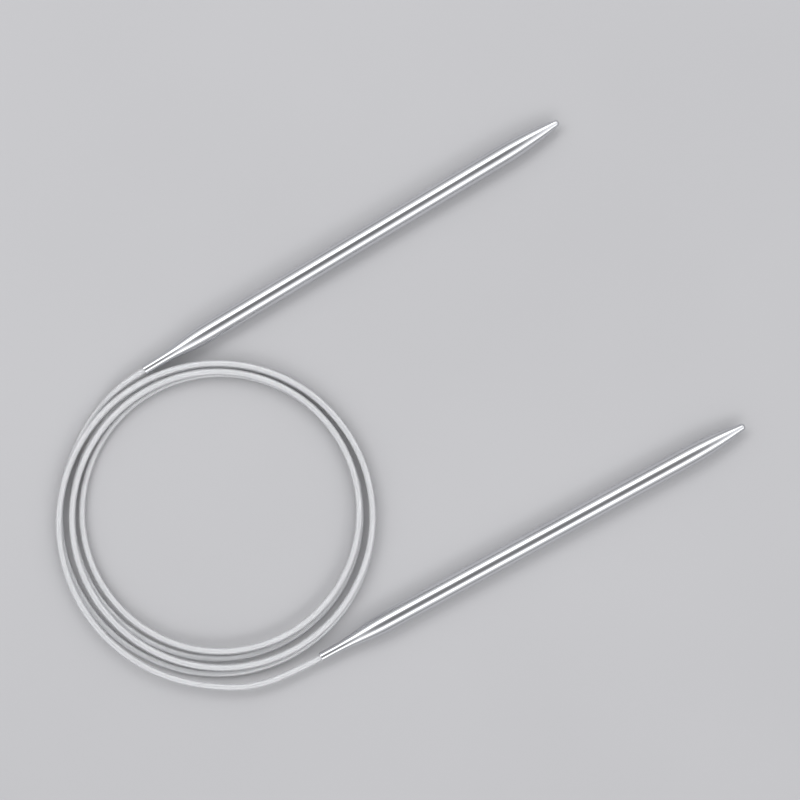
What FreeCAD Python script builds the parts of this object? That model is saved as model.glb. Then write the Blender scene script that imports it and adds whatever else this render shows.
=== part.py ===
import FreeCAD, Part

import math
import os
import re

import Sketcher

# Circular knitting needle: two hollow steel tips on one jacketed wire cable. It lies on a flat surface
# with the cable wound in a loose coil and both tips side by side, pointing away from the coil.
# +X runs along the tips to their points, +Y across them, +Z up. The origin lies on the surface,
# in the middle of the two tips. Lengths are millimetres and angles are degrees.

DRIVING_SIZES = [
    ("tip_diameter", 5.0, "outer diameter of the straight shaft, the needle's size"),
    ("tip_length", 118.0, "from the mouth of the neck to the point"),
    ("tip_wall", 0.4, "wall of the hollow shaft"),
    ("point_length", 17.0, "length of the pointed end"),
    ("point_end_radius", 0.9, "rounding at the very end of the point"),
    ("point_solid", 6.0, "closed metal ahead of the hollow"),
    ("hollow_end_radius", 0.6, "rounding at the front end of the hollow"),
    ("neck_diameter", 2.4, "outer diameter of the neck, round the cable"),
    ("neck_straight", 3.0, "straight part of the neck, from its mouth"),
    ("neck_taper", 16.0, "smooth taper between the neck and the shaft"),
    ("mouth_round", 0.2, "rounding of the outer edge at the neck's mouth"),
    ("cable_diameter", 1.6, "over the jacket"),
    ("cable_fit", 0.05, "radial clearance of the cable in the neck"),
    ("core_diameter", 1.0, "wire core inside the jacket"),
    ("core_stub", 0.8, "core that stands out past the crimp sleeve"),
    ("sleeve_length", 5.0, "crimp sleeve on the end of the core"),
    ("sleeve_fit", 0.1, "radial clearance of the crimp sleeve in the shaft"),
    ("sleeve_bevel", 0.4, "bevel on the ends of the crimp sleeve"),
    ("crimp_width", 0.9, "width of each rolled crimp"),
    ("crimp_depth", 0.35, "depth of each rolled crimp"),
    ("splay_angle", 1.15, "angle of each tip away from the needle's middle line"),
    ("tip_stagger", 2.6, "lower tip lies this much further forward"),
    ("coil_turns", 4.5, "turns of cable from one tip to the other"),
    ("coil_inner_radius", 33.5, "centre line of the innermost turn"),
    ("lower_step", 2.25, "least step from turn to turn in the lower layer"),
    ("upper_step", 2.1, "least step from turn to turn in the upper layer"),
    ("lower_fan", 1.5, "how much more the lower turns step where they fan out"),
    ("upper_fan", 2.4, "how much more the upper turns step where they fan out"),
    ("bunch_angle", 65.0, "where the turns lie closest together, from +X"),
    ("turning_span", 90.0, "half of the stretch in which the spiral turns back"),
    ("layer_gap", 0.45, "gap between the two layers"),
    ("rest_gap", 0.05, "gap between the lower layer and the surface"),
    ("lead_angle", 30.0, "how far round the coil each end of the cable leaves it"),
    ("lead_outset", 0.8, "tip's axis lies this much further out than the coil's end"),
    ("coil_back", 2.8, "coil's centre lies this far behind the mouths of the necks"),
]

FULL_TURN = 360.0
ORIGIN = FreeCAD.Vector(0, 0, 0)
UP = FreeCAD.Vector(0, 0, 1)
AHEAD = FreeCAD.Vector(1, 0, 0)

# The two tips, each with the side of the coil that it leaves: +1 is the one at +Y.
TIPS = {"upper": 1, "lower": -1}

# A run of a lead is this share of the distance between its ends.
LEAD_RUN_SHARE = 0.3
# An arc takes this share of the shorter run beside it.
ARC_SHARE = 0.45
# The coil is built in stretches of about this angle, two arcs each.
STRETCH_ANGLE = 90.0
# The coil's direction is taken over this angle to either side of a point.
SMALL_ANGLE = 0.5
# Directions closer than this make a straight line, in radians.
STRAIGHT_ANGLE = 1e-7
# An edge closer to the mouth of the neck than this lies in it.
AT_MOUTH = 1e-7
# The gap between turns is measured on points this far apart, sorted into sectors of this angle.
SAMPLE_SPACING = 0.5
SECTOR_ANGLE = 4.0

doc = FreeCAD.newDocument("circular_needle")


# Driving dimensions


def make_sheet():
    sheet = doc.addObject("Spreadsheet::Sheet", "sizes")
    for row, (name, value, note) in enumerate(DRIVING_SIZES, start=1):
        sheet.set(f"A{row}", note)
        sheet.set(f"B{row}", str(value))
        sheet.setAlias(f"B{row}", name)
    doc.recompute()
    return sheet


sizes = make_sheet()


def size(name):
    return float(sizes.get(name))


def bind(thing, place, text):
    """Ties a property to an expression in which each size's name is read from the sheet."""
    thing.setExpression(place, re.sub(r"[a-z]+(_[a-z]+)+", r"sizes.\g<0>", text))


# Sketch helpers

START, END, CENTRE = 1, 2, 3
X_AXIS = -1
ROOT_POINT = (-1, 1)


def sketch_on(body, name):
    sketch = body.newObject("Sketcher::SketchObject", name)
    plane = [f for f in body.Origin.OriginFeatures if f.Role == "XY_Plane"][0]
    sketch.AttachmentSupport = [(plane, "")]
    sketch.MapMode = "FlatFace"
    return sketch


def add_line(sketch, start, end):
    line = Part.LineSegment(FreeCAD.Vector(*start, 0), FreeCAD.Vector(*end, 0))
    return sketch.addGeometry(line, False)


def add_arc(sketch, centre, radius, first_angle, last_angle):
    circle = Part.Circle(FreeCAD.Vector(*centre, 0), UP, radius)
    return sketch.addGeometry(Part.ArcOfCircle(circle, first_angle, last_angle), False)


def join(sketch, kind, pairs):
    for first, second in pairs:
        sketch.addConstraint(Sketcher.Constraint(kind, *first, *second))


def place(sketch, point, **distances):
    """Ties a sketch point's distances from the origin to expressions, as x or y."""
    for column, text in distances.items():
        here = getattr(sketch.getPoint(*point), column)
        kind = "Distance" + column.upper()
        index = sketch.addConstraint(Sketcher.Constraint(kind, *ROOT_POINT, *point, here))
        bind(sketch, f"Constraints[{index}]", text)


def polygon(body, name, corners):
    """A closed outline of straight sides, from expressions for each corner's place."""
    sketch = sketch_on(body, name)
    count = len(corners)
    rough = []
    for i in range(count):
        turn = math.radians(FULL_TURN * i / count)
        rough.append((2 + math.cos(turn), 2 + math.sin(turn)))
    sides = [add_line(sketch, rough[i], rough[(i + 1) % count]) for i in range(count)]
    join(sketch, "Coincident", [((sides[i - 1], END), (sides[i], START)) for i in range(count)])
    for side, (x, y) in zip(sides, corners):
        place(sketch, (side, START), x=x, y=y)
    doc.recompute()
    return sketch


def revolve(body, name, kind, sketch):
    feature = body.newObject(kind, name)
    feature.Profile = sketch
    feature.ReferenceAxis = (sketch, ["H_Axis"])
    feature.Angle = FULL_TURN
    doc.recompute()
    return feature


# Needle tip: a revolved shaft with a necked tail and an ogive point, and a hollow of the same form


def needle_outline(body, name, neck, shaft, front, end_round):
    """Half outline of the shaft or of its hollow. The neck's radius, the shaft's radius, the place of
    the front end and the radius there each come as a number and its expression."""
    neck_radius, shaft_radius, front_place, end_radius = neck[0], shaft[0], front[0], end_round[0]
    taper = size("neck_taper")
    taper_start = size("neck_straight")
    taper_end = taper_start + taper
    point_start = size("tip_length") - size("point_length")
    rise = shaft_radius - neck_radius
    bend = (taper**2 + rise**2) / (4 * rise)
    bend_angle = 2 * math.atan2(rise, taper)
    nose = front_place - end_radius - point_start
    ogive = (nose**2 + shaft_radius**2 - end_radius**2) / (2 * (shaft_radius - end_radius))
    nose_angle = math.acos(nose / (ogive - end_radius))
    right_angle = math.pi / 2

    sketch = sketch_on(body, name)
    mouth = add_line(sketch, (0, 0), (0, neck_radius))
    neck_line = add_line(sketch, (0, neck_radius), (taper_start, neck_radius))
    neck_bend = add_arc(
        sketch, (taper_start, neck_radius + bend), bend, -right_angle, bend_angle - right_angle
    )
    shaft_bend = add_arc(
        sketch, (taper_end, shaft_radius - bend), bend, right_angle, right_angle + bend_angle
    )
    shaft_line = add_line(sketch, (taper_end, shaft_radius), (point_start, shaft_radius))
    point = add_arc(
        sketch, (point_start, shaft_radius - ogive), ogive, nose_angle, right_angle
    )
    nose_round = add_arc(sketch, (front_place - end_radius, 0), end_radius, 0, nose_angle)
    axis = add_line(sketch, (front_place, 0), (0, 0))

    join(
        sketch,
        "Coincident",
        [
            ((mouth, START), ROOT_POINT),
            ((mouth, END), (neck_line, START)),
            ((nose_round, START), (axis, START)),
            ((axis, END), (mouth, START)),
        ],
    )
    join(
        sketch,
        "Tangent",
        [
            ((neck_line, END), (neck_bend, START)),
            ((neck_bend, END), (shaft_bend, END)),
            ((shaft_bend, START), (shaft_line, START)),
            ((shaft_line, END), (point, END)),
            ((point, START), (nose_round, END)),
        ],
    )
    sketch.addConstraint(Sketcher.Constraint("Vertical", mouth))
    for line in (neck_line, shaft_line, axis):
        sketch.addConstraint(Sketcher.Constraint("Horizontal", line))
    sketch.addConstraint(Sketcher.Constraint("PointOnObject", nose_round, CENTRE, X_AXIS))
    place(sketch, (neck_line, END), x="neck_straight", y=neck[1])
    place(sketch, (shaft_line, START), x="neck_straight + neck_taper", y=shaft[1])
    place(sketch, (shaft_line, END), x="tip_length - point_length")
    place(sketch, (axis, START), x=front[1])
    index = sketch.addConstraint(Sketcher.Constraint("Radius", nose_round, end_radius))
    bind(sketch, f"Constraints[{index}]", end_round[1])
    doc.recompute()
    return sketch


def round_mouth(body, name, bored):
    """Rounds the outer edge at the mouth of the neck, which is the widest circle there."""
    edges_there = []
    for number, edge in enumerate(bored.Shape.Edges, start=1):
        box = edge.BoundBox
        if max(abs(box.XMin), abs(box.XMax)) < AT_MOUTH:
            edges_there.append((box.YMax, number))
    fillet = body.newObject("PartDesign::Fillet", name)
    fillet.Base = (bored, [f"Edge{max(edges_there)[1]}"])
    bind(fillet, "Radius", "mouth_round")
    doc.recompute()
    return fillet


def make_tip(name):
    body = doc.addObject("PartDesign::Body", name)
    outside = needle_outline(
        body,
        name + "_outside",
        neck=(size("neck_diameter") / 2, "neck_diameter / 2"),
        shaft=(size("tip_diameter") / 2, "tip_diameter / 2"),
        front=(size("tip_length"), "tip_length"),
        end_round=(size("point_end_radius"), "point_end_radius"),
    )
    solid = revolve(body, name + "_shaft", "PartDesign::Revolution", outside)
    whole = solid.Shape.Volume
    hollow = needle_outline(
        body,
        name + "_inside",
        neck=(size("cable_diameter") / 2 + size("cable_fit"), "cable_diameter / 2 + cable_fit"),
        shaft=(size("tip_diameter") / 2 - size("tip_wall"), "tip_diameter / 2 - tip_wall"),
        front=(size("tip_length") - size("point_solid"), "tip_length - point_solid"),
        end_round=(size("hollow_end_radius"), "hollow_end_radius"),
    )
    bored = revolve(body, name + "_hollow", "PartDesign::Groove", hollow)
    print(f"{name}: {whole:.1f} mm3 before the hollow, {bored.Shape.Volume:.1f} mm3 after")
    round_mouth(body, name + "_mouth", bored)
    return body


# Crimp sleeve, core end and jacket end, which lie inside each tip

SLEEVE_PLACE = "neck_straight + neck_taper"
SLEEVE_RADIUS = "tip_diameter / 2 - tip_wall - sleeve_fit"


def make_crimp_sleeve(name):
    body = doc.addObject("PartDesign::Body", name)
    sleeve_end = f"{SLEEVE_PLACE} + sleeve_length"
    section = polygon(
        body,
        name + "_section",
        [
            (SLEEVE_PLACE, "core_diameter / 2"),
            (sleeve_end, "core_diameter / 2"),
            (sleeve_end, f"{SLEEVE_RADIUS} - sleeve_bevel"),
            (f"{sleeve_end} - sleeve_bevel", SLEEVE_RADIUS),
            (f"{SLEEVE_PLACE} + sleeve_bevel", SLEEVE_RADIUS),
            (SLEEVE_PLACE, f"{SLEEVE_RADIUS} - sleeve_bevel"),
        ],
    )
    revolve(body, name + "_ring", "PartDesign::Revolution", section)
    crimp_place = f"{SLEEVE_PLACE} + sleeve_length / 3"
    crimp_section = polygon(
        body,
        name + "_crimp_section",
        [
            (f"{crimp_place} - crimp_width / 4", f"{SLEEVE_RADIUS} - crimp_depth"),
            (f"{crimp_place} + crimp_width / 4", f"{SLEEVE_RADIUS} - crimp_depth"),
            (f"{crimp_place} + crimp_width", f"{SLEEVE_RADIUS} + crimp_depth"),
            (f"{crimp_place} - crimp_width", f"{SLEEVE_RADIUS} + crimp_depth"),
        ],
    )
    crimp = revolve(body, name + "_crimp", "PartDesign::Groove", crimp_section)
    crimps = body.newObject("PartDesign::LinearPattern", name + "_crimps")
    crimps.Originals = [crimp]
    crimps.Direction = (crimp_section, ["H_Axis"])
    bind(crimps, "Length", "sleeve_length / 3")
    crimps.Occurrences = 2
    body.Tip = crimps
    doc.recompute()
    return body


def make_rod(name, radius, length):
    rod = doc.addObject("Part::Cylinder", name)
    bind(rod, "Radius", radius)
    bind(rod, "Height", length)
    return rod


def make_core_end(name):
    return make_rod(name, "core_diameter / 2", f"{SLEEVE_PLACE} + sleeve_length + core_stub")


def make_jacket_end(name):
    outside = make_rod(name + "_outside", "cable_diameter / 2", SLEEVE_PLACE)
    inside = make_rod(name + "_inside", "core_diameter / 2", SLEEVE_PLACE)
    jacket = doc.addObject("Part::Cut", name)
    jacket.Base = outside
    jacket.Tool = inside
    return jacket


# Cable route: a coil that spirals in through the lower layer and out again through the upper one


def coil_length_angle():
    return size("coil_turns") * FULL_TURN


def layer_heights():
    lower = size("cable_diameter") / 2 + size("rest_gap")
    return lower, lower + size("cable_diameter") + size("layer_gap")


def coil_radius(along):
    """Radius of the coil's centre line, at an angle along the cable from where it meets the coil at
    the upper tip's side."""
    past_middle = along - coil_length_angle() / 2
    span = size("turning_span")
    turns_out = (math.hypot(past_middle, span) - span) / FULL_TURN
    layer = "lower" if past_middle < 0 else "upper"
    facing = math.radians(coil_facing(along) - size("bunch_angle"))
    fan = (1 - math.cos(facing)) / 2
    return size("coil_inner_radius") + turns_out * (size(layer + "_step") + size(layer + "_fan") * fan)


def coil_facing(along):
    """Direction from the coil's centre, from +X."""
    return FULL_TURN / 4 + along


def coil_height(along):
    """The cable climbs from layer to layer in the half turn where the spiral turns back."""
    lower, upper = layer_heights()
    half_turn = FULL_TURN / 2
    share = (along - coil_length_angle() / 2) / half_turn + 0.5
    share = min(max(share, 0), 1)
    return lower + (upper - lower) * share**2 * (3 - 2 * share)


def coil_start():
    return size("lead_angle")


def coil_end():
    return coil_length_angle() - size("lead_angle")


def axis_offset(side):
    """Distance of a tip's axis, at its neck, from the coil's centre."""
    along = coil_start() if side > 0 else coil_end()
    return coil_radius(along) + size("lead_outset")


def coil_centre():
    mouths = -size("tip_length") * math.cos(math.radians(size("splay_angle"))) / 2
    across = (axis_offset(-1) - axis_offset(1)) / 2
    return FreeCAD.Vector(mouths - size("coil_back"), across, 0)


def coil_point(along):
    facing = math.radians(coil_facing(along))
    radius = coil_radius(along)
    offset = FreeCAD.Vector(radius * math.cos(facing), radius * math.sin(facing), coil_height(along))
    return coil_centre() + offset


def coil_direction(along):
    return (coil_point(along + SMALL_ANGLE) - coil_point(along - SMALL_ANGLE)).normalize()


def tip_placement(side):
    """A tip's own frame starts at the mouth of its neck, with +X along its axis."""
    splay = side * size("splay_angle")
    half_length = size("tip_length") * math.cos(math.radians(splay)) / 2
    across = (axis_offset(1) + axis_offset(-1)) / 2
    mouth = FreeCAD.Vector(
        -half_length - side * size("tip_stagger") / 2, side * across, size("tip_diameter") / 2
    )
    return FreeCAD.Placement(mouth, FreeCAD.Rotation(UP, splay))


# Jacket and core along lines and arcs


def arc_middle(start, direction, end):
    """Half way along the arc that leaves start in a direction and ends at end, or None on a line."""
    chord = end - start
    along = FreeCAD.Vector(chord).normalize()
    half_turn = direction.getAngle(along)
    if half_turn < STRAIGHT_ANGLE:
        return None
    aside = (direction - along * direction.dot(along)).normalize()
    return start + chord * 0.5 + aside * (chord.Length / 2 * math.tan(half_turn / 2))


def arc_through(start, middle, end):
    return Part.Arc(start, middle, end) if middle else Part.LineSegment(start, end)


def biarc(start, start_direction, end, end_direction):
    """Two arcs that leave start and reach end along the given directions and meet smoothly."""
    chord = end - start
    both = start_direction + end_direction
    spread = 2 * (1 - start_direction.dot(end_direction))
    reach = (math.sqrt(chord.dot(both) ** 2 + spread * chord.dot(chord)) - chord.dot(both)) / spread
    meeting = (start + end + (start_direction - end_direction) * reach) * 0.5
    return [
        arc_through(start, arc_middle(start, start_direction, meeting), meeting),
        arc_through(meeting, arc_middle(end, end_direction * -1, meeting), end),
    ]


def make_tube(name, path, radius, start, direction):
    ring = Part.Wire([Part.makeCircle(radius, start, direction)])
    tube = doc.addObject("Part::Feature", name)
    tube.Shape = path.makePipeShell([ring], True, False)
    return tube


def joined(curves):
    return Part.Wire([curve.toShape() for curve in curves])


def make_cable(name, core_name, path, start, direction):
    """The jacket and the core of one stretch of cable."""
    core = make_tube(core_name, path, size("core_diameter") / 2, start, direction)
    whole = make_tube(name + "_whole", path, size("cable_diameter") / 2, start, direction)
    jacket = doc.addObject("Part::Cut", name)
    jacket.Base = whole
    jacket.Tool = core
    doc.recompute()
    expected = math.pi * (size("cable_diameter") / 2) ** 2 * path.Length
    volume = jacket.Shape.Volume + core.Shape.Volume
    print(f"{name}: {path.Length:.1f} mm long, with its core {volume:.1f} of {expected:.1f} mm3")
    return [jacket, core]


def least_gap(path):
    """Least gap between two turns of a coiled path, measured on points along it."""
    centre = coil_centre()
    sector_count = round(FULL_TURN / SECTOR_ANGLE)
    sectors = {}
    for order, point in enumerate(path.discretize(Distance=SAMPLE_SPACING)):
        facing = math.degrees(math.atan2(point.y - centre.y, point.x - centre.x))
        sector = int(facing // SECTOR_ANGLE) % sector_count
        sectors.setdefault(sector, []).append((order * SAMPLE_SPACING, point))
    half_turn = math.pi * size("coil_inner_radius")
    least = math.inf
    for sector, members in sectors.items():
        others = members + sectors.get((sector + 1) % sector_count, [])
        for along, point in members:
            for other_along, other in others:
                if abs(other_along - along) > half_turn:
                    least = min(least, point.distanceToPoint(other))
    return least - size("cable_diameter")


def make_coil(name, core_name):
    start = coil_point(coil_start())
    direction = coil_direction(coil_start())
    end = coil_point(coil_end())
    end_direction = coil_direction(coil_end())
    straight = size("cable_diameter")
    tail = start - direction * straight
    curves = [Part.LineSegment(tail, start)]
    stretches = round((coil_end() - coil_start()) / STRETCH_ANGLE)
    step = (coil_end() - coil_start()) / stretches
    for stretch in range(stretches):
        first = coil_start() + stretch * step
        last = first + step
        curves += biarc(
            coil_point(first), coil_direction(first), coil_point(last), coil_direction(last)
        )
    curves.append(Part.LineSegment(end, end + end_direction * straight))
    path = joined(curves)
    print(f"{name}: least gap between turns {least_gap(path):.2f} mm")
    return make_cable(name, core_name, path, tail, direction)


def lead_points(side):
    """A lead's route, from the mouth of the neck straight out of it and straight into the coil."""
    mouth = tip_placement(side).Base
    out_of_neck = tip_placement(side).Rotation.multVec(AHEAD) * -1
    along = coil_start() if side > 0 else coil_end()
    into_coil = coil_direction(along) * side
    coil_tail = coil_point(along) - into_coil * size("cable_diameter")
    run = LEAD_RUN_SHARE * (coil_tail - mouth).Length
    return [mouth, mouth + out_of_neck * run, coil_tail - into_coil * run, coil_tail]


def make_lead(name, core_name, side):
    points = lead_points(side)
    curves = []
    here = points[0]
    for before, corner, after in zip(points, points[1:], points[2:]):
        run_in = corner - before
        run_out = after - corner
        way_in = FreeCAD.Vector(run_in).normalize()
        way_out = FreeCAD.Vector(run_out).normalize()
        cut = ARC_SHARE * min(run_in.Length, run_out.Length)
        half_turn = way_in.getAngle(way_out) / 2
        print(f"{name}: arc radius {cut / math.tan(half_turn):.1f} mm")
        arc_start = corner - way_in * cut
        arc_end = corner + way_out * cut
        bend = arc_through(arc_start, arc_middle(arc_start, way_in, arc_end), arc_end)
        curves += [Part.LineSegment(here, arc_start), bend]
        here = arc_end
    curves.append(Part.LineSegment(here, points[-1]))
    out_of_neck = FreeCAD.Vector(points[1] - points[0]).normalize()
    return make_cable(name, core_name, joined(curves), points[0], out_of_neck)


# The whole needle


def make_needle():
    pieces = make_coil("cable_coil", "core_coil")
    along_tip = FreeCAD.Placement(ORIGIN, FreeCAD.Rotation(UP, AHEAD))
    for word, side in TIPS.items():
        in_tip = tip_placement(side)
        tip = make_tip("needle_tip_" + word)
        sleeve = make_crimp_sleeve("crimp_sleeve_" + word)
        tip.Placement = in_tip
        sleeve.Placement = in_tip
        core = make_core_end("core_end_" + word)
        jacket = make_jacket_end("jacket_end_" + word)
        core.Placement = in_tip * along_tip
        jacket.Placement = in_tip * along_tip
        pieces += [tip, sleeve, core, jacket]
        pieces += make_lead("cable_lead_" + word, "core_lead_" + word, side)
    return pieces


def check(pieces):
    for thing in doc.Objects:
        if {"Invalid", "Error"} & set(thing.State):
            raise ValueError(f"{thing.Name} is {thing.State}")
    for piece in pieces:
        if piece.Shape.isNull() or not piece.Shape.isValid():
            raise ValueError(f"{piece.Name} has no valid shape")


def write(pieces):
    os.makedirs("parts", exist_ok=True)
    for piece in pieces:
        piece.Shape.exportStep(f"parts/{piece.Label}.step")
        print(f"{piece.Label}: {piece.Shape.Volume:.1f} mm3, {len(piece.Shape.Solids)} solid")


pieces = make_needle()
doc.recompute()
check(pieces)
write(pieces)
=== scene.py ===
import math

import bpy
from mathutils import Matrix, Vector


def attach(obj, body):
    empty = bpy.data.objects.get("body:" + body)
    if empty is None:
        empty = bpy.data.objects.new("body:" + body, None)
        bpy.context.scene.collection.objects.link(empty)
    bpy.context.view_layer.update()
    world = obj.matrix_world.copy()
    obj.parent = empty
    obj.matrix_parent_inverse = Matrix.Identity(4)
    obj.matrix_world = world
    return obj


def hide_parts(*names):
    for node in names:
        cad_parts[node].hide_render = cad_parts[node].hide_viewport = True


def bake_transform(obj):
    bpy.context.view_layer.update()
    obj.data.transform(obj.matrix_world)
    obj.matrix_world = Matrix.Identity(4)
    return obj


# Circular knitting needle, seen from straight above: two polished steel tips on one long cable, a clear
# jacket over twisted wire, which lies in a loose coil. Lengths are metres in the frame of the solids:
# +X along the tips to their points, +Y across them, +Z up. Angles are degrees where a name says so.

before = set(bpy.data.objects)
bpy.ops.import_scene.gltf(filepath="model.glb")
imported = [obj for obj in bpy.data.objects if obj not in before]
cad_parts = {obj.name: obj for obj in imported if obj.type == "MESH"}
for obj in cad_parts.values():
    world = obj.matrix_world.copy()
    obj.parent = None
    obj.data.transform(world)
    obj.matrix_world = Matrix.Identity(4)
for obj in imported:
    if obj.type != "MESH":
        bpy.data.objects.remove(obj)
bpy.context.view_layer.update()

UP = Vector((0, 0, 1))
FULL_TURN = 360.0

# The tips point this far above the right-hand side of the photograph.
TIPS_ABOVE_RIGHT = math.radians(29.8)
# The middle of the needle as it lies in the picture.
VIEW_MIDDLE = Vector((-0.0097, 0.0038, 0.0))
CAMERA_HEIGHT = 0.545
# The lens and the sensor are in millimetres.
CAMERA_LENS = 100.0
CAMERA_SENSOR = 36.0
CAMERA_NEAR_LIMIT = 0.005


def link(thing):
    bpy.context.scene.collection.objects.link(thing)
    return thing


def make_camera():
    data = bpy.data.cameras.new("camera")
    data.lens = CAMERA_LENS
    data.sensor_width = CAMERA_SENSOR
    data.clip_start = CAMERA_NEAR_LIMIT
    camera = link(bpy.data.objects.new("camera", data))
    camera.matrix_world = Matrix.Translation(VIEW_MIDDLE + UP * CAMERA_HEIGHT) @ Matrix.Rotation(
        -TIPS_ABOVE_RIGHT, 4, "Z"
    )
    bpy.context.scene.camera = camera


make_camera()


# The cable's route: out of the upper neck, round the coil and into the lower neck

CABLE_DIAMETER = 0.0016
COIL_CENTRE = Vector((-0.061788, 0.001859, 0.0))
COIL_TURNS = 4.5
INNER_RADIUS = 0.0335
LOWER_STEP = 0.00225
UPPER_STEP = 0.0021
LOWER_FAN = 0.0015
UPPER_FAN = 0.0024
BUNCH_ANGLE = 65.0
TURNING_SPAN = 90.0
LOWER_HEIGHT = 0.00085
UPPER_HEIGHT = 0.0029
LEAD_ANGLE = 30.0
POINTS_PER_TURN = 24
# The smooth line's order, and its steps from one control point to the next.
LINE_ORDER = 3
LINE_STEPS = 18

UPPER_MOUTH = Vector((-0.060288, 0.041122, 0.0025))
LOWER_MOUTH = Vector((-0.057688, -0.041122, 0.0025))
UPPER_LEAD = [Vector((-0.066311, 0.041001, 0.0025)), Vector((-0.074341, 0.038846, 0.00085))]
LOWER_LEAD = [Vector((-0.075231, -0.039309, 0.0029)), Vector((-0.065031, -0.040974, 0.0025))]
# The coil is a piece of its own between these two places, and a lead runs from each to its neck.
UPPER_LEAD_END = Vector((-0.079618, 0.035940, 0.00085))
LOWER_LEAD_END = Vector((-0.081511, -0.035500, 0.0029))


def coil_point(along):
    """A control point of the coil, at an angle along the cable from the upper tip's side. The cable
    spirals in through the lower layer and out again through the upper one."""
    past_middle = along - COIL_TURNS * FULL_TURN / 2
    turns_out = (math.hypot(past_middle, TURNING_SPAN) - TURNING_SPAN) / FULL_TURN
    facing = FULL_TURN / 4 + along
    fanned = (1 - math.cos(math.radians(facing - BUNCH_ANGLE))) / 2
    step = LOWER_STEP + LOWER_FAN * fanned if past_middle < 0 else UPPER_STEP + UPPER_FAN * fanned
    radius = INNER_RADIUS + turns_out * step
    climb = min(max(past_middle / (FULL_TURN / 2) + 0.5, 0.0), 1.0)
    height = LOWER_HEIGHT + (UPPER_HEIGHT - LOWER_HEIGHT) * climb**2 * (3 - 2 * climb)
    # The smooth line runs a little inside its points, so they stand out by the same share.
    radius /= math.cos(math.radians(FULL_TURN / POINTS_PER_TURN / 2))
    away = Vector((math.cos(math.radians(facing)), math.sin(math.radians(facing)), 0))
    return COIL_CENTRE + away * radius + UP * height


def coil_points():
    first = LEAD_ANGLE
    last = COIL_TURNS * FULL_TURN - LEAD_ANGLE
    count = round((last - first) / FULL_TURN * POINTS_PER_TURN)
    return [coil_point(first + (last - first) * i / count) for i in range(count + 1)]


def smooth_line(points):
    """Points along the smooth line that has the given control points."""
    data = bpy.data.curves.new("cable_route", "CURVE")
    data.dimensions = "3D"
    data.resolution_u = LINE_STEPS
    spline = data.splines.new("NURBS")
    spline.points.add(len(points) - 1)
    for place, point in zip(spline.points, points):
        place.co = (*point, 1)
    spline.order_u = LINE_ORDER
    spline.use_endpoint_u = True
    route = link(bpy.data.objects.new("cable_route", data))
    bpy.context.view_layer.update()
    line = bpy.data.meshes.new_from_object(route)
    centres = [vertex.co.copy() for vertex in line.vertices]
    bpy.data.objects.remove(route)
    bpy.data.meshes.remove(line)
    return centres


def lengths_along(centres):
    """How far along a line each of its points is."""
    lengths = [0.0]
    for before, after in zip(centres, centres[1:]):
        lengths.append(lengths[-1] + (after - before).length)
    return lengths


def frames_along(centres):
    """Each point of a line with two directions across it, which don't twist along it."""
    frames = []
    across = None
    for i, centre in enumerate(centres):
        ahead = (centres[min(i + 1, len(centres) - 1)] - centres[max(i - 1, 0)]).normalized()
        across = ahead.cross(UP) if across is None else across - ahead * across.dot(ahead)
        across.normalize()
        frames.append((centre, across.copy(), ahead.cross(across)))
    return frames


def tubes(name, many_frames, radius, sides):
    """Smooth open tubes of one radius, in one mesh."""
    vertices = []
    faces = []
    for frames in many_frames:
        base = len(vertices)
        for centre, across, other in frames:
            for side in range(sides):
                turn = 2 * math.pi * side / sides
                vertices.append(centre + (across * math.cos(turn) + other * math.sin(turn)) * radius)
        for ring in range(len(frames) - 1):
            low = base + ring * sides
            for side in range(sides):
                after = (side + 1) % sides
                faces.append((low + side, low + after, low + sides + after, low + sides + side))
    mesh = bpy.data.meshes.new(name)
    mesh.from_pydata(vertices, [], faces)
    mesh.polygons.foreach_set("use_smooth", [True] * len(faces))
    mesh.update()
    return link(bpy.data.objects.new(name, mesh))


JACKET_SIDES = 20
STRAND_SIDES = 7
# Six strands wind round a seventh, once in each lay, and lie against it and one another.
OUTER_STRANDS = 6
STRAND_RADIUS = 0.000166
STRAND_OFFSET = 0.000334
STRAND_LAY = 0.0062


def nearest(centres, place):
    """Which point of a line is nearest to a place."""
    return min(range(len(centres)), key=lambda i: (centres[i] - place).length)


route = smooth_line([UPPER_MOUTH, *UPPER_LEAD, *coil_points(), *LOWER_LEAD, LOWER_MOUTH])
route_frames = frames_along(route)
route_lengths = lengths_along(route)


def strand_line(strand):
    """The centre line of one of the outer strands."""
    points = []
    for (centre, across, other), length in zip(route_frames, route_lengths):
        turn = 2 * math.pi * (strand / OUTER_STRANDS + length / STRAND_LAY)
        points.append(centre + (across * math.cos(turn) + other * math.sin(turn)) * STRAND_OFFSET)
    return points


strand_frames = [frames_along(strand_line(strand)) for strand in range(OUTER_STRANDS)]
strand_frames.append(route_frames)
first_cut = nearest(route, UPPER_LEAD_END)
last_cut = nearest(route, LOWER_LEAD_END)
STRETCHES = {
    "lead_upper": slice(0, first_cut + 1),
    "coil": slice(first_cut, last_cut + 1),
    "lead_lower": slice(last_cut, len(route)),
}
jackets = {}
wires = {}
for stretch, points in STRETCHES.items():
    jackets[stretch] = tubes(
        "cable_jacket_" + stretch, [route_frames[points]], CABLE_DIAMETER / 2, JACKET_SIDES
    )
    wires[stretch] = tubes(
        "cable_wire_" + stretch,
        [frames[points] for frames in strand_frames],
        STRAND_RADIUS,
        STRAND_SIDES,
    )

for stretch in STRETCHES:
    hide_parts("cable_" + stretch)
    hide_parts("core_" + stretch)
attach(jackets["coil"], "cable")
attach(wires["coil"], "cable")
for piece in (jackets["lead_upper"], wires["lead_upper"]):
    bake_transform(piece)
for piece in (jackets["lead_lower"], wires["lead_lower"]):
    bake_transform(piece)


# Materials

# Most of a noise lies between these two values.
NOISE_LOW = 0.3
NOISE_HIGH = 0.7


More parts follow.
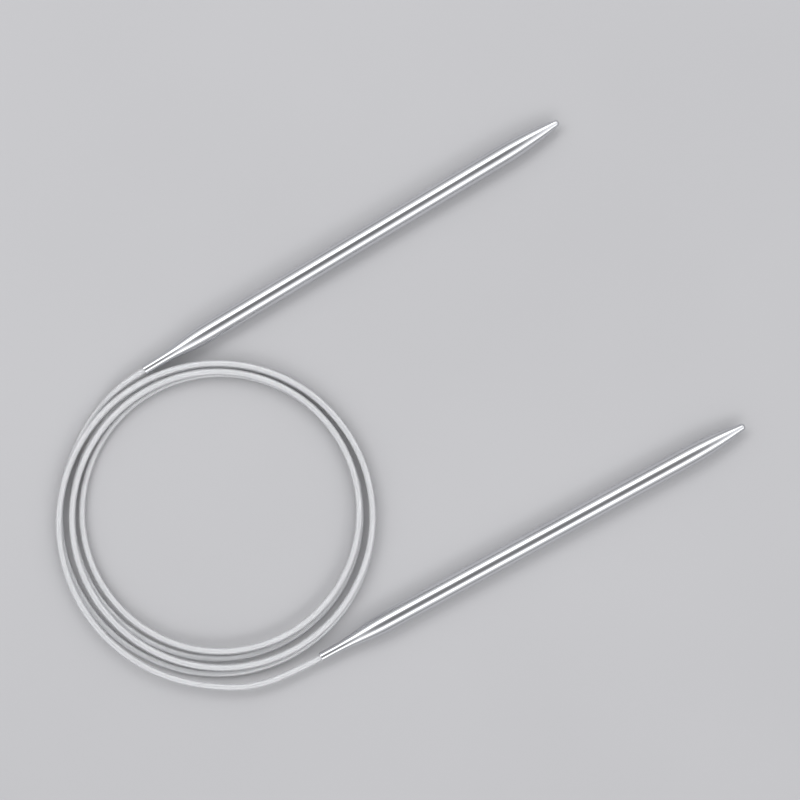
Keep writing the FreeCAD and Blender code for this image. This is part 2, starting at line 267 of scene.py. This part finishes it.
def new_material(name):
    material = bpy.data.materials.new(name)
    material.use_nodes = True
    nodes = material.node_tree.nodes
    shader = next(node for node in nodes if node.type == "BSDF_PRINCIPLED")
    return material, nodes, material.node_tree.links, shader


def stretched_noise(nodes, links, scale, stretch, detail=3.0):
    """Noise in the frame's own metres, drawn out along some of its axes."""
    place = nodes.new("ShaderNodeTexCoord")
    mapping = nodes.new("ShaderNodeMapping")
    mapping.inputs["Scale"].default_value = stretch
    links.new(place.outputs["Object"], mapping.inputs["Vector"])
    noise = nodes.new("ShaderNodeTexNoise")
    noise.inputs["Scale"].default_value = scale
    noise.inputs["Detail"].default_value = detail
    links.new(mapping.outputs["Vector"], noise.inputs["Vector"])
    return noise.outputs["Fac"]


def spread_between(nodes, links, value, low, high):
    """A noise, mapped to between low and high."""
    span = nodes.new("ShaderNodeMapRange")
    span.inputs["From Min"].default_value = NOISE_LOW
    span.inputs["From Max"].default_value = NOISE_HIGH
    span.inputs["To Min"].default_value = low
    span.inputs["To Max"].default_value = high
    links.new(value, span.inputs["Value"])
    return span.outputs["Result"]


def add_bump(nodes, links, shader, height, strength, distance):
    bump = nodes.new("ShaderNodeBump")
    bump.inputs["Strength"].default_value = strength
    bump.inputs["Distance"].default_value = distance
    links.new(height, bump.inputs["Height"])
    links.new(bump.outputs["Normal"], shader.inputs["Normal"])


def shade(nodes, links, shader, value, dark, light):
    """Base colour that wanders between two close shades."""
    ramp = nodes.new("ShaderNodeValToRGB")
    darkest, lightest = ramp.color_ramp.elements
    darkest.position = NOISE_LOW
    darkest.color = (*dark, 1)
    lightest.position = NOISE_HIGH
    lightest.color = (*light, 1)
    links.new(value, ramp.inputs["Fac"])
    links.new(ramp.outputs["Color"], shader.inputs["Base Color"])


def polished_steel():
    """Ground and polished stainless tube, with the faint lengthwise lines that polishing leaves."""
    material, nodes, links, shader = new_material("polished_steel")
    shader.inputs["Metallic"].default_value = 1.0
    cloudy = stretched_noise(nodes, links, 60.0, (1.0, 3.0, 3.0))
    shade(nodes, links, shader, cloudy, (0.66, 0.67, 0.69), (0.74, 0.75, 0.77))
    lines = stretched_noise(nodes, links, 900.0, (0.03, 6.0, 6.0), 4.0)
    links.new(spread_between(nodes, links, lines, 0.09, 0.2), shader.inputs["Roughness"])
    add_bump(nodes, links, shader, lines, 0.12, 0.00002)
    return material


def drawn_wire():
    """Bright drawn steel of the cable's strands."""
    material, nodes, links, shader = new_material("drawn_wire")
    shader.inputs["Metallic"].default_value = 1.0
    patches = stretched_noise(nodes, links, 700.0, (1.0, 1.0, 1.0))
    shade(nodes, links, shader, patches, (0.88, 0.885, 0.895), (0.95, 0.95, 0.96))
    links.new(spread_between(nodes, links, patches, 0.26, 0.4), shader.inputs["Roughness"])
    return material


def clear_jacket():
    """Glossy clear plastic with a slight milkiness, which lets the wire show through."""
    material, nodes, links, shader = new_material("clear_jacket")
    shader.inputs["Base Color"].default_value = (0.965, 0.97, 0.98, 1)
    shader.inputs["Transmission Weight"].default_value = 0.66
    shader.inputs["IOR"].default_value = 1.46
    ripples = stretched_noise(nodes, links, 450.0, (1.0, 1.0, 1.0))
    links.new(spread_between(nodes, links, ripples, 0.04, 0.12), shader.inputs["Roughness"])
    add_bump(nodes, links, shader, ripples, 0.06, 0.00002)
    return material


def soft_aluminium():
    """Matt drawn aluminium of the crimp sleeves."""
    material, nodes, links, shader = new_material("soft_aluminium")
    shader.inputs["Metallic"].default_value = 1.0
    grain = stretched_noise(nodes, links, 1500.0, (0.2, 1.0, 1.0))
    shade(nodes, links, shader, grain, (0.68, 0.69, 0.7), (0.78, 0.79, 0.8))
    links.new(spread_between(nodes, links, grain, 0.32, 0.48), shader.inputs["Roughness"])
    add_bump(nodes, links, shader, grain, 0.2, 0.00003)
    return material


def dress(thing, material):
    """Gives a piece one material in place of what it has."""
    thing.data.materials.clear()
    thing.data.materials.append(material)


steel = polished_steel()
wire = drawn_wire()
plastic = clear_jacket()
aluminium = soft_aluminium()
for side in ("upper", "lower"):
    dress(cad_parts["needle_tip_" + side], steel)
    dress(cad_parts["crimp_sleeve_" + side], aluminium)
    dress(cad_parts["core_end_" + side], wire)
    dress(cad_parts["jacket_end_" + side], plastic)
for jacket in jackets.values():
    dress(jacket, plastic)
for strands in wires.values():
    dress(strands, wire)


# Floor and light

FLOOR_HALF = 2.0
# The floor lies this far below the needle, so that no faces of the two coincide.
FLOOR_DROP = 0.00002
# How bright the room is, from the horizon and all below it at 0 to straight up at 1.
ROOM_SHADES = {0.0: 0.3, 0.12: 0.34, 0.4: 0.75, 0.7: 1.2, 0.88: 1.1, 0.95: 0.4, 1.0: 0.2}
ROOM_BLUE = 1.02


def make_floor():
    half = FLOOR_HALF
    corners = [(-half, -half, 0), (half, -half, 0), (half, half, 0), (-half, half, 0)]
    mesh = bpy.data.meshes.new("floor")
    mesh.from_pydata(corners, [], [(0, 1, 2, 3)])
    floor = link(bpy.data.objects.new("floor", mesh))
    floor.location.z = -FLOOR_DROP
    material, nodes, links, shader = new_material("floor")
    shader.inputs["Roughness"].default_value = 0.9
    grain = stretched_noise(nodes, links, 9.0, (1.0, 1.0, 1.0))
    shade(nodes, links, shader, grain, (0.485, 0.485, 0.495), (0.505, 0.505, 0.515))
    dress(floor, material)


def softbox(name, place, across, length, radiance):
    """A long lamp beside the tips, turned to the needle, as bright as radiance all over."""
    data = bpy.data.lights.new(name, "AREA")
    data.shape = "RECTANGLE"
    data.size = length
    data.size_y = across
    data.energy = radiance * math.pi * across * length
    lamp = link(bpy.data.objects.new(name, data))
    lamp.location = place
    lamp.rotation_euler = (VIEW_MIDDLE - Vector(place)).to_track_quat("-Z", "Y").to_euler()


def make_world():
    """A soft room: dim overhead, bright half way down and darker again at the horizon."""
    world = bpy.data.worlds.new("room")
    world.use_nodes = True
    nodes = world.node_tree.nodes
    links = world.node_tree.links
    background = next(node for node in nodes if node.type == "BACKGROUND")
    place = nodes.new("ShaderNodeTexCoord")
    split = nodes.new("ShaderNodeSeparateXYZ")
    ramp = nodes.new("ShaderNodeValToRGB")
    links.new(place.outputs["Generated"], split.inputs["Vector"])
    links.new(split.outputs["Z"], ramp.inputs["Fac"])
    links.new(ramp.outputs["Color"], background.inputs["Color"])
    stops = ramp.color_ramp.elements
    for position in list(ROOM_SHADES)[1:-1]:
        stops.new(position)
    for stop, brightness in zip(stops, ROOM_SHADES.values()):
        stop.color = (brightness, brightness, brightness * ROOM_BLUE, 1)
    bpy.context.scene.world = world


make_floor()
softbox("key", place=(-0.01, 0.42, 0.55), across=0.26, length=0.9, radiance=1.9)
softbox("fill", place=(-0.01, -0.5, 0.5), across=0.2, length=0.9, radiance=1.3)
make_world()
bpy.context.scene.view_settings.view_transform = "Standard"
